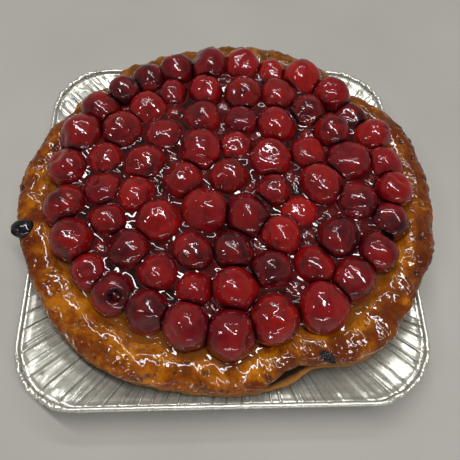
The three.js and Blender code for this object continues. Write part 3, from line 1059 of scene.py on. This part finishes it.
def makeGlaze(crust):
    settings = glazeSettings
    cell, count = settings["cell"], settings["cells"]
    half = cell * count / 2
    bm = bmesh.new()
    bmesh.ops.create_grid(bm, x_segments=count, y_segments=count, size=half)
    bm.verts.ensure_lookup_table()
    flat = np.array([vert.co for vert in bm.verts])[:, :2]
    cells = np.round((flat + half) / cell).astype(int)
    flat = flat + settings["centre"]
    pieces = [bpy.data.objects[name] for name in cherrySkins] + [crust]
    heights, owner = surfaceUnder(flat, pieces)
    grid = np.zeros((count + 1, count + 1))
    grid[cells[:, 0], cells[:, 1]] = heights
    over = rolled(grid, cell, settings["roll"])[cells[:, 0], cells[:, 1]]
    flat3 = np.column_stack([flat, 0 * flat[:, 0]])
    centreX, centreY = crustSettings["centre"]
    angle = np.degrees(np.arctan2(flat[:, 1] - centreY, flat[:, 0] - centreX))
    fromEdge = crustReach(angle) - np.hypot(flat[:, 0] - centreX, flat[:, 1] - centreY)
    # between the fruit the glaze stands as a pool that wanders in height and falls away over the crust
    pool = settings["pool"] + settings["poolWander"] * noiseAt(flat3, settings["poolLength"], 8, 2)
    pool = pool + settings["poolTilt"] * (flat[:, 1] - settings["centre"][1])
    pool = pool - settings["edgeDrop"] * (1 - smoothStep(*settings["drops"], fromEdge))
    pool = pool + settings["poolRipple"] * noiseAt(flat3, settings["rippleLength"], 12)
    blend = settings["blend"]
    top = -blend * np.logaddexp(-over / blend, -pool / blend) - settings["film"]
    depth = np.maximum(top - heights, 0)
    amber = (owner == len(pieces) - 1) * (1 - smoothStep(*settings["amber"], fromEdge))
    for index, vert in enumerate(bm.verts):
        vert.co = (flat[index, 0], flat[index, 1], top[index])
    keep = fromEdge >= settings["fromCrustEdge"]
    outside = [vert for index, vert in enumerate(bm.verts) if not keep[index]]
    bmesh.ops.delete(bm, geom=outside, context="VERTS")
    # a straight side down into the crust, and a bottom
    edges = [edge for edge in bm.edges if edge.is_boundary]
    made = bmesh.ops.extrude_edge_only(bm, edges=edges)["geom"]
    for item in made:
        if isinstance(item, bmesh.types.BMVert):
            item.co.z = settings["floor"]
    bottom = [item for item in made if isinstance(item, bmesh.types.BMEdge)]
    bmesh.ops.contextual_create(bm, geom=bottom)
    mesh = meshFrom(bm, "cherryGlaze")
    extra = len(mesh.vertices) - int(keep.sum())
    faceOutwards(mesh)
    shown = np.minimum(depth[keep], settings["deepest"]) / settings["deepest"]
    paint(mesh, "depth", np.append(shown, np.ones(extra)))
    paint(mesh, "overCrust", np.append(amber[keep], np.zeros(extra)))
    finishPiece("cherryGlaze", mesh, glazeMaterial(), ["cherry_jelly"])


def glazeMaterial():
    shade = Shader("setGlaze")
    skin = shade.ramp(
        shade.attribute("depth"),
        (0.0, colour(88, 2, 7)), (0.15, colour(70, 4, 6)), (0.45, colour(52, 5, 6)), (1.0, colour(30, 2, 3)),
    )
    cloud = shade.grade(shade.noise(70, 3), 0.5, 0.75, 0, 0.35)
    skin = shade.mix(cloud, skin, (*colour(66, 18, 14), 1))
    skin = shade.mix(shade.attribute("overCrust"), skin, (*colour(120, 66, 10), 1))
    ripple = shade.bump(shade.noise(120, 1.5), 0.1, 0.001)
    return shade.set(
        Base_Color=skin, Roughness=0.5, Specular_IOR_Level=0.05,
        Coat_Weight=1.0, Coat_Roughness=0.02, Coat_IOR=1.45, Coat_Normal=ripple,
    )


berrySettings = {
    "crown": (-0.5, -0.6, 0.62),  # the way its crown faces
    "crownDepth": 0.16,
    "crownWidth": 0.24,  # radians
    "crownLip": (0.06, 0.42, 0.1),  # height, then radians from the crown's middle and across
}


def makeDarkBerry():
    settings = berrySettings
    centre, size = nodeBox("dark_berry")
    towards = Vector(settings["crown"]).normalized()
    lipHeight, lipAngle, lipWidth = settings["crownLip"]
    bm = bmesh.new()
    made = bmesh.ops.create_icosphere(bm, subdivisions=5, radius=1)["verts"]
    for vert in made:
        unit = vert.co.normalized()
        crown = math.acos(max(-1, min(1, unit.dot(towards))))
        swell = 1 + 0.05 * noise.noise(unit * 2.1) + 0.02 * noise.noise(unit * 6)
        hollow = settings["crownDepth"] * math.exp(-(crown / settings["crownWidth"]) ** 2)
        lip = lipHeight * math.exp(-((crown - lipAngle) / lipWidth) ** 2)
        vert.co = unit * (swell - (hollow - lip))
    bmesh.ops.scale(bm, vec=tuple(size / 2), verts=made)
    bmesh.ops.translate(bm, vec=tuple(centre), verts=made)
    mesh = meshFrom(bm, "darkBerry")
    shade = Shader("darkBerrySkin")
    skin = shade.ramp(shade.noise(260, 4), (0.35, colour(5, 4, 6)), (0.7, colour(20, 14, 20)))
    wrinkle = shade.bump(shade.noise(420, 3), 0.15, 0.0006)
    material = shade.set(
        Base_Color=skin, Roughness=0.5, Normal=wrinkle, Specular_IOR_Level=0.1,
        Coat_Weight=1.0, Coat_Roughness=0.03,
    )
    finishPiece("darkBerry", mesh, material, ["dark_berry"])


burntSettings = {
    "angle": -61.5,
    "fromCentre": 109,
    "lumps": ((0, 0, 2.6), (2.1, -1.3, 2.2), (3.9, -2.6, 1.6), (-1.9, 1.2, 1.9)),  # across, along, size
    "flatness": (1, 0.85, 0.6),
    "sunk": 0.25,
}


def makeBurntSpot(crust):
    settings = burntSettings
    angle, far = math.radians(settings["angle"]), settings["fromCentre"]
    centreX, centreY = crustSettings["centre"]
    spot = (centreX + far * math.cos(angle), centreY + far * math.sin(angle))
    bm = bmesh.new()
    for step, (across, along, size) in enumerate(settings["lumps"]):
        made = bmesh.ops.create_icosphere(bm, subdivisions=5, radius=1)["verts"]
        for vert in made:
            unit = vert.co.normalized()
            broad, small = noise.noise(unit * 1.9 + Vector((step, 4, 0))), noise.noise(unit * 5)
            vert.co = unit * (1 + 0.5 * broad + 0.25 * small)
        bmesh.ops.scale(bm, vec=tuple(size * share for share in settings["flatness"]), verts=made)
        x, y = spot[0] + across, spot[1] + along
        height = surfaceUnder(np.array([(x, y)]), [crust])[0][0]
        bmesh.ops.translate(bm, vec=(x, y, height - settings["sunk"]), verts=made)
    mesh = meshFrom(bm, "burntSpot")
    shade = Shader("charredSugar")
    skin = shade.ramp(shade.noise(500, 4), (0.4, colour(3, 2, 2)), (0.75, colour(20, 10, 6)))
    grit = shade.bump(shade.noise(900, 4), 0.6, 0.0006)
    material = shade.set(
        Base_Color=skin, Roughness=0.55, Normal=grit, Specular_IOR_Level=0.3,
        Coat_Weight=0.4, Coat_Roughness=0.1,
    )
    finishPiece("burntSpot", mesh, material)


makeCamera()
makeLights()
makeFloor()
print("camera, lights and floor are set")
makeTray()
cherries = makeCherries()
crust = makeCrust(cherries)
makeGlaze(crust)
makeDarkBerry()
makeBurntSpot(crust)
